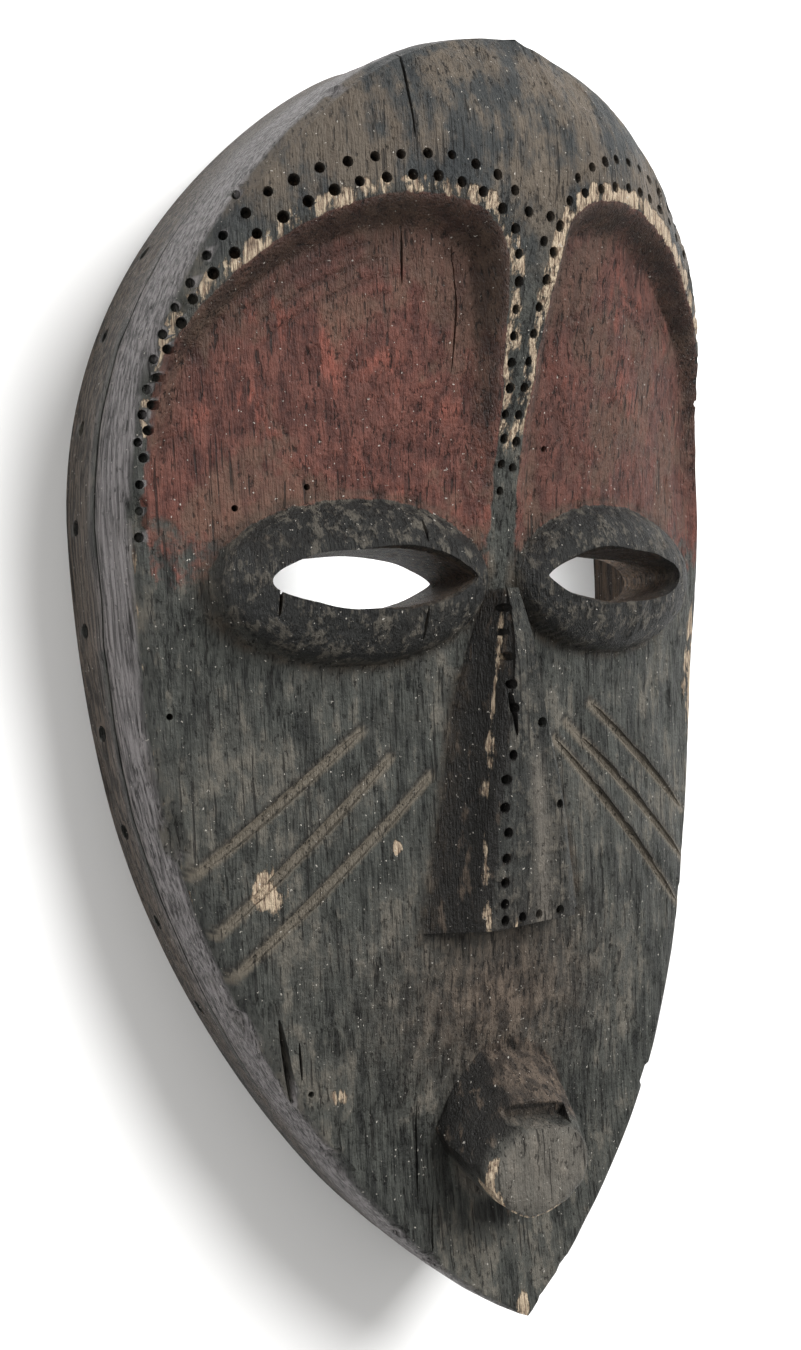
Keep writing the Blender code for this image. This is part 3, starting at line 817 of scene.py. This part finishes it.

# The nose and the rims are the blackest, and painted shade darkens every crease between two forms.
# Painted highlight: a pale streak down the front of the nose, and a pale flat front on the mouth.
painted_sheen = on_nose * np.exp(-((row_x - 0.004 + 0.05 * (y + 0.05)) / 0.0028) ** 2) * ease(-0.02, -0.04, y)
painted_sheen = np.maximum(painted_sheen, mouth_flat * 0.8)
dark = np.maximum(on_rim * front, 0.55 * on_nose)
brown = np.exp(-((x + 0.004) / 0.035) ** 2 - ((y + 0.103) / 0.026) ** 2) * front
brown = np.maximum(brown, mouth_slope)
crown = ease(0.10, 0.135, y) * ease(0.002, -0.006, inside) * front
shade_at_nose_base = np.exp(-((np.abs(row_x) - nose_base) / 0.0022) ** 2) * (y < 0.0) * (y > -0.083)
shade_in_lobe_cove = np.exp(-((inside - 0.004) / 0.004) ** 2) * ease(0.05, 0.08, y)
painted_crease_shade = np.exp(-((rims + 0.10) / 0.12) ** 2) + shade_at_nose_base + shade_in_lobe_cove
painted_crease_shade = np.clip(painted_crease_shade, 0.0, 1.0) * front
slot_wall = (np.abs(y - eye_y) < 0.0125) & (np.abs(np.abs(row_x) - slot_x) < 0.0368)
raw = ease(-0.002, -0.005, z - surface) * ease(0.006, 0.009, edge_gap) * (1 - on_nose) * (1 - on_mouth)
raw = np.maximum(raw, slot_wall * ease(0.45, 0.25, up_share))
# Painted shade: near black on the left sides of nose and mouth, turned away from the lamp, and on the upper
# bevel of each eye slot.
nose_side = on_nose * (up_share < 0.85) * (row_x < 0)
mouth_side = on_mouth * ease(1.0, 1.15, lip) * ease(0.05, -0.15, normals[:, 0])
bevel = slot_wall * ease(0.20, 0.40, up_share) * ease(0.95, 0.85, up_share) * (y > eye_y - 0.002)
painted_side_shade = np.maximum.reduce([nose_side, mouth_side, 0.7 * bevel])
# Where the side wall takes its painted pale reflection, and its lower brown part near the back rim.
side_wall = ease(0.55, 0.25, up_share) * ease(0.006, 0.003, edge_gap)
wall_rise = z / np.maximum(face_height(half_width(y), y), 0.01)
lower_wall = side_wall * ease(0.65, 0.30, wall_rise)

# A groove's floor is dusty, and painted shade darkens its upper edge.
groove = np.zeros(len(points))
groove_edge_shade = np.zeros(len(points))
for side, lines in scars.items():
    for start, end in lines:
        begin = np.array((side * start[0], start[1]))
        run = np.array((side * end[0], end[1])) - begin
        part = np.clip(((points[:, :2] - begin) @ run) / (run @ run), 0.0, 1.0)
        gap = points[:, :2] - begin - part[:, None] * run
        away = np.hypot(gap[:, 0], gap[:, 1])
        groove = np.maximum(groove, ease(0.0025, 0.0012, away))
        groove_edge_shade = np.maximum(groove_edge_shade, ease(0.0009, 0.0003, np.abs(away - 0.0019)) * (gap[:, 1] > 0))
shares = {"red_earth": red, "lobe_shade_and_tone": lobe_shade_and_tone, "bare": worn, "soot": dark, "clay": brown,
          "crown": crown, "painted_crease_shade": painted_crease_shade, "painted_sheen": painted_sheen, "raw": raw, "painted_side_shade": painted_side_shade,
          "side_wall": side_wall, "lower_wall": lower_wall, "groove": groove * front,
          "groove_edge_shade": groove_edge_shade * front}
for name, values in shares.items():
    keep(mask, name, values)
for name in ("across", "along", "level"):
    if name in mask.data.attributes:
        mask.data.attributes.remove(mask.data.attributes[name])


class Finish:
    """Adds shader nodes to one material, in a maker's words."""

    def __init__(self, name):
        self.material = bpy.data.materials.new(name)
        self.material.use_nodes = True
        self.nodes = self.material.node_tree.nodes
        self.links = self.material.node_tree.links
        self.shader = self.nodes["Principled BSDF"]
        self.place = self.nodes.new("ShaderNodeTexCoord").outputs["Object"]

    def feed(self, socket, value):
        if isinstance(value, bpy.types.NodeSocket):
            self.links.new(value, socket)
        elif value is not None:
            socket.default_value = value

    def share(self, name):
        """A share kept on the mesh."""
        node = self.nodes.new("ShaderNodeAttribute")
        node.attribute_name = name
        return node.outputs["Fac"]

    def grain(self, size, detail=4.0, seed=0.0, roughness=0.55):
        """Noise with lumps of the given size in metres along x, y and z."""
        mapping = self.nodes.new("ShaderNodeMapping")
        mapping.inputs["Scale"].default_value = tuple(1.0 / part for part in size)
        mapping.inputs["Location"].default_value = (seed * 3.1, seed * 1.7, seed * 2.3)
        self.links.new(self.place, mapping.inputs["Vector"])
        node = self.nodes.new("ShaderNodeTexNoise")
        node.inputs["Scale"].default_value = 1.0
        node.inputs["Detail"].default_value = detail
        node.inputs["Roughness"].default_value = roughness
        self.links.new(mapping.outputs["Vector"], node.inputs["Vector"])
        return node.outputs["Fac"]

    def between(self, value, low, high):
        """0 below low, 1 above high, and smooth between them."""
        node = self.nodes.new("ShaderNodeMapRange")
        node.interpolation_type = "SMOOTHSTEP"
        self.feed(node.inputs["Value"], value)
        node.inputs["From Min"].default_value = low
        node.inputs["From Max"].default_value = high
        return node.outputs["Result"]

    def sum(self, operation, first, second):
        node = self.nodes.new("ShaderNodeMath")
        node.operation = operation
        self.feed(node.inputs[0], first)
        self.feed(node.inputs[1], second)
        return node.outputs["Value"]

    def blend(self, share, first, second):
        """The first colour where the share is 0, the second where it is 1."""
        node = self.nodes.new("ShaderNodeMix")
        node.data_type = "RGBA"
        self.feed(node.inputs["Factor"], share)
        self.feed(node.inputs[6], first)
        self.feed(node.inputs[7], second)
        return node.outputs[2]

    def relief(self, height, depth):
        node = self.nodes.new("ShaderNodeBump")
        node.inputs["Distance"].default_value = depth
        self.feed(node.inputs["Height"], height)
        self.links.new(node.outputs["Normal"], self.shader.inputs["Normal"])


def colour(red_part, green_part, blue_part):
    return (red_part, green_part, blue_part, 1.0)


paint = Finish("painted_wood")
fine = paint.grain((0.0005, 0.010, 0.0005), 5.0, 1.0)
fibre = paint.grain((0.0011, 0.045, 0.0011), 4.0, 2.0)
cloud = paint.grain((0.026, 0.034, 0.026), 6.0, 3.0, 0.62)
mottle = paint.grain((0.0050, 0.0075, 0.0050), 7.0, 4.0, 0.68)
speck = paint.grain((0.0012, 0.0012, 0.0012), 2.0, 5.0)
streak = paint.grain((0.0028, 0.022, 0.0028), 6.0, 6.0, 0.62)
crumb = paint.grain((0.0018, 0.0024, 0.0018), 4.0, 7.0, 0.6)
patch = paint.grain((0.016, 0.024, 0.016), 5.0, 8.0, 0.6)
long_grain = paint.grain((0.0013, 0.032, 0.0013), 5.0, 9.0, 0.6)


def times(first, second):
    return paint.sum("MULTIPLY", first, second)


def plus(first, second):
    return paint.sum("ADD", first, second)


ragged = plus(times(mottle, 0.5), times(streak, 0.5))
thread = plus(times(streak, 0.6), times(fine, 0.4))
black = paint.blend(paint.between(thread, 0.38, 0.60),
                    colour(0.010, 0.011, 0.010), colour(0.057, 0.060, 0.053))
black = paint.blend(times(paint.between(cloud, 0.44, 0.62), 0.60), black, colour(0.080, 0.080, 0.070))
dust_share = times(paint.between(plus(times(cloud, 0.6), times(ragged, 0.8)), 0.71, 0.82), 0.50)
dusty = paint.blend(paint.between(mottle, 0.35, 0.65),
                    colour(0.080, 0.070, 0.057), colour(0.180, 0.160, 0.130))
body = paint.blend(dust_share, black, dusty)
clay_coat = paint.blend(paint.between(ragged, 0.42, 0.60),
                        colour(0.028, 0.020, 0.015), colour(0.115, 0.084, 0.062))
body = paint.blend(times(paint.share("clay"), 0.85), body, clay_coat)
crown_coat = paint.blend(paint.between(plus(times(patch, 0.6), times(ragged, 0.4)), 0.44, 0.56),
                         colour(0.024, 0.028, 0.031), colour(0.125, 0.096, 0.070))
body = paint.blend(times(paint.share("crown"), 0.70), body, crown_coat)
flecks = plus(times(crumb, 0.35), times(mottle, 0.65))
soot = paint.blend(times(paint.between(flecks, 0.50, 0.58), 0.60),
                   colour(0.007, 0.007, 0.007), colour(0.130, 0.115, 0.092))
body = paint.blend(times(paint.share("soot"), 0.85), body, soot)
# Painted shade on the left sides of nose and mouth and on the upper bevels of the eye slots.
side_shade_colour = paint.blend(paint.between(ragged, 0.54, 0.64),
                  colour(0.006, 0.005, 0.004), colour(0.075, 0.055, 0.040))
body = paint.blend(times(paint.share("painted_side_shade"), 0.92), body, side_shade_colour)
# Painted highlight on the front of the nose and the flat front of the mouth.
body = paint.blend(times(paint.share("painted_sheen"), times(ragged, 1.2)), body, colour(0.175, 0.155, 0.130))
red_dark = paint.blend(paint.between(ragged, 0.38, 0.62),
                       colour(0.052, 0.018, 0.014), colour(0.165, 0.062, 0.046))
red_share = paint.between(plus(times(patch, 0.6), times(streak, 0.5)), 0.58, 0.70)
earth = paint.blend(times(red_share, 0.75), red_dark, colour(0.290, 0.085, 0.058))
earth = paint.blend(times(paint.between(cloud, 0.48, 0.58), 0.60), earth, colour(0.125, 0.078, 0.054))
# Painted shade in the lobes' coves and gouge marks, with the right lobe's own darker red.
earth = paint.blend(times(paint.share("lobe_shade_and_tone"), 0.72), earth, colour(0.040, 0.020, 0.015))
earth = paint.blend(times(paint.between(streak, 0.52, 0.66), 0.55), earth, colour(0.040, 0.020, 0.016))
red_edge = plus(paint.share("red_earth"), times(paint.sum("SUBTRACT", mottle, 0.5), 1.2))
body = paint.blend(paint.between(red_edge, 0.35, 0.65), body, earth)
# Painted shade: darker brown in the creases round the eye rims, at the foot of the nose and in the lobes'
# coves.
crease_shade_colour = paint.blend(paint.between(mottle, 0.40, 0.62),
                   colour(0.020, 0.016, 0.012), colour(0.070, 0.052, 0.036))
body = paint.blend(times(paint.share("painted_crease_shade"), 0.60), body, crease_shade_colour)
body = paint.blend(times(paint.share("groove"), 0.80), body, colour(0.150, 0.128, 0.098))
# Painted shade along each groove's upper edge.
body = paint.blend(times(paint.share("groove_edge_shade"), 0.80), body, colour(0.010, 0.009, 0.008))
wood = paint.blend(paint.between(fine, 0.35, 0.65),
                   colour(0.170, 0.115, 0.078), colour(0.520, 0.420, 0.300))
bare_share = paint.between(plus(times(paint.share("bare"), 0.5), ragged), 0.905, 0.965)
body = paint.blend(bare_share, body, wood)
# Painted reflection: the upper side wall is a pale grey sheen; the lower wall is brown wood.
wall_painted_reflection = paint.blend(paint.between(long_grain, 0.36, 0.62),
                        colour(0.068, 0.062, 0.063), colour(0.280, 0.260, 0.262))
wall_brown = paint.blend(paint.between(long_grain, 0.40, 0.60),
                         colour(0.022, 0.017, 0.014), colour(0.130, 0.100, 0.078))
wall_tone_and_reflection = paint.blend(paint.share("lower_wall"), wall_painted_reflection, wall_brown)
body = paint.blend(times(paint.share("side_wall"), 0.85), body, wall_tone_and_reflection)
inner = paint.blend(paint.between(long_grain, 0.38, 0.62),
                    colour(0.012, 0.007, 0.005), colour(0.070, 0.044, 0.027))
body = paint.blend(times(paint.share("raw"), 0.90), body, inner)
hair = paint.between(fibre, 0.395, 0.335)
body = paint.blend(times(hair, 0.75), body, colour(0.008, 0.007, 0.006))
pits = paint.between(plus(times(crumb, 0.6), times(fine, 0.4)), 0.42, 0.36)
body = paint.blend(times(pits, 0.60), body, colour(0.010, 0.009, 0.008))
body = paint.blend(times(paint.between(speck, 0.715, 0.73), 0.75), body, colour(0.50, 0.47, 0.42))
paint.feed(paint.shader.inputs["Base Color"], body)
shine = plus(0.40, times(plus(mottle, dust_share), 0.26))
paint.feed(paint.shader.inputs["Roughness"], shine)
paint.feed(paint.shader.inputs["Specular IOR Level"], 0.26)
lumps = plus(plus(times(mottle, 0.9), times(fine, 0.5)), times(crumb, 0.35))
lumps = paint.sum("SUBTRACT", lumps, times(hair, 0.9))
lumps = paint.sum("SUBTRACT", lumps, times(pits, 0.4))
lumps = paint.sum("SUBTRACT", lumps, times(bare_share, 0.35))
paint.relief(lumps, 0.0024)

mask.data.materials.clear()
mask.data.materials.append(paint.material)
bpy.ops.object.select_all(action="DESELECT")
bpy.context.view_layer.objects.active = mask
mask.select_set(True)
bpy.ops.object.shade_smooth_by_angle(angle=math.radians(42.0))
mask.select_set(False)
put(mask, np.clip(corners_of(mask), cad_low[:], cad_high[:]))
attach(mask, "root")
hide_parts("carved_mask")


# A plain pale floor that the mask lies on. It is no part of the mask,
# and shows the soft shadow round it and the light through its eyes.
bpy.ops.mesh.primitive_plane_add(size=8.0)
floor = bpy.context.object
floor.name = "floor"
pale = Finish("pale_floor")
sheet = pale.blend(pale.grain((0.3, 0.3, 0.3), 3.0), colour(0.86, 0.86, 0.86), colour(0.90, 0.90, 0.89))
pale.feed(pale.shader.inputs["Base Color"], sheet)
pale.feed(pale.shader.inputs["Roughness"], 0.9)
floor.data.materials.append(pale.material)


# Soft studio light: a pale room, a broad lamp above and to the right, a weak one on the left, and two
# small ones inside the hollow, so that the floor shows bright through the eyes as in the photograph.
def lamp(name, place, target, size, power):
    light = bpy.data.lights.new(name, "AREA")
    light.shape = "DISK"
    light.size = size
    light.energy = power
    holder = bpy.data.objects.new(name, light)
    bpy.context.scene.collection.objects.link(holder)
    holder.location = place
    holder.rotation_euler = (Vector(target) - Vector(place)).to_track_quat("-Z", "Y").to_euler()
    holder.visible_camera = False
    return holder


lamp("broad_lamp", (1.00, 1.00, 1.80), (0.0, 0.0, 0.04), 1.5, 88.0)
lamp("left_fill", (-1.30, 0.30, 0.90), (0.0, 0.0, 0.04), 1.5, 8.0)
lamp("inner_lamp", (0.0, 0.03, 0.040), (0.0, 0.02, 0.0), 0.06, 0.05)
lamp("right_inner_lamp", (0.055, 0.027, 0.040), (0.085, 0.027, 0.0), 0.03, 0.018)
room = bpy.data.worlds.new("pale_room")
room.use_nodes = True
room.node_tree.nodes["Background"].inputs["Color"].default_value = (1.0, 0.985, 0.965, 1.0)
room.node_tree.nodes["Background"].inputs["Strength"].default_value = 0.46
bpy.context.scene.world = room
bpy.context.scene.view_settings.view_transform = "Standard"

# The camera looks down on the face from its left, turned a little, as in the photograph.
# Its angles are in radians, and its focal length is in pixels of a picture of that height.
camera_place = Vector((-0.27285, -0.00103, 0.40086))
camera_turn = 0.60934
camera_lift = -0.0016
camera_roll = -0.0595
picture_height = 1350
focal_pixels = 1400.0
ahead = Vector((math.sin(camera_turn) * math.cos(camera_lift), math.sin(camera_lift),
                -math.cos(camera_turn) * math.cos(camera_lift)))
level_right = Vector((math.cos(camera_turn), 0.0, math.sin(camera_turn)))
level_up = level_right.cross(ahead)
right = level_right * math.cos(camera_roll) + level_up * math.sin(camera_roll)
up = level_up * math.cos(camera_roll) - level_right * math.sin(camera_roll)
lens = bpy.data.cameras.new("camera")
lens.sensor_width = 36.0
lens.lens = lens.sensor_width * focal_pixels / picture_height
camera = bpy.data.objects.new("camera", lens)
bpy.context.scene.collection.objects.link(camera)
camera.matrix_world = Matrix.Translation(camera_place) @ Matrix((right, up, -ahead)).transposed().to_4x4()
bpy.context.scene.camera = camera
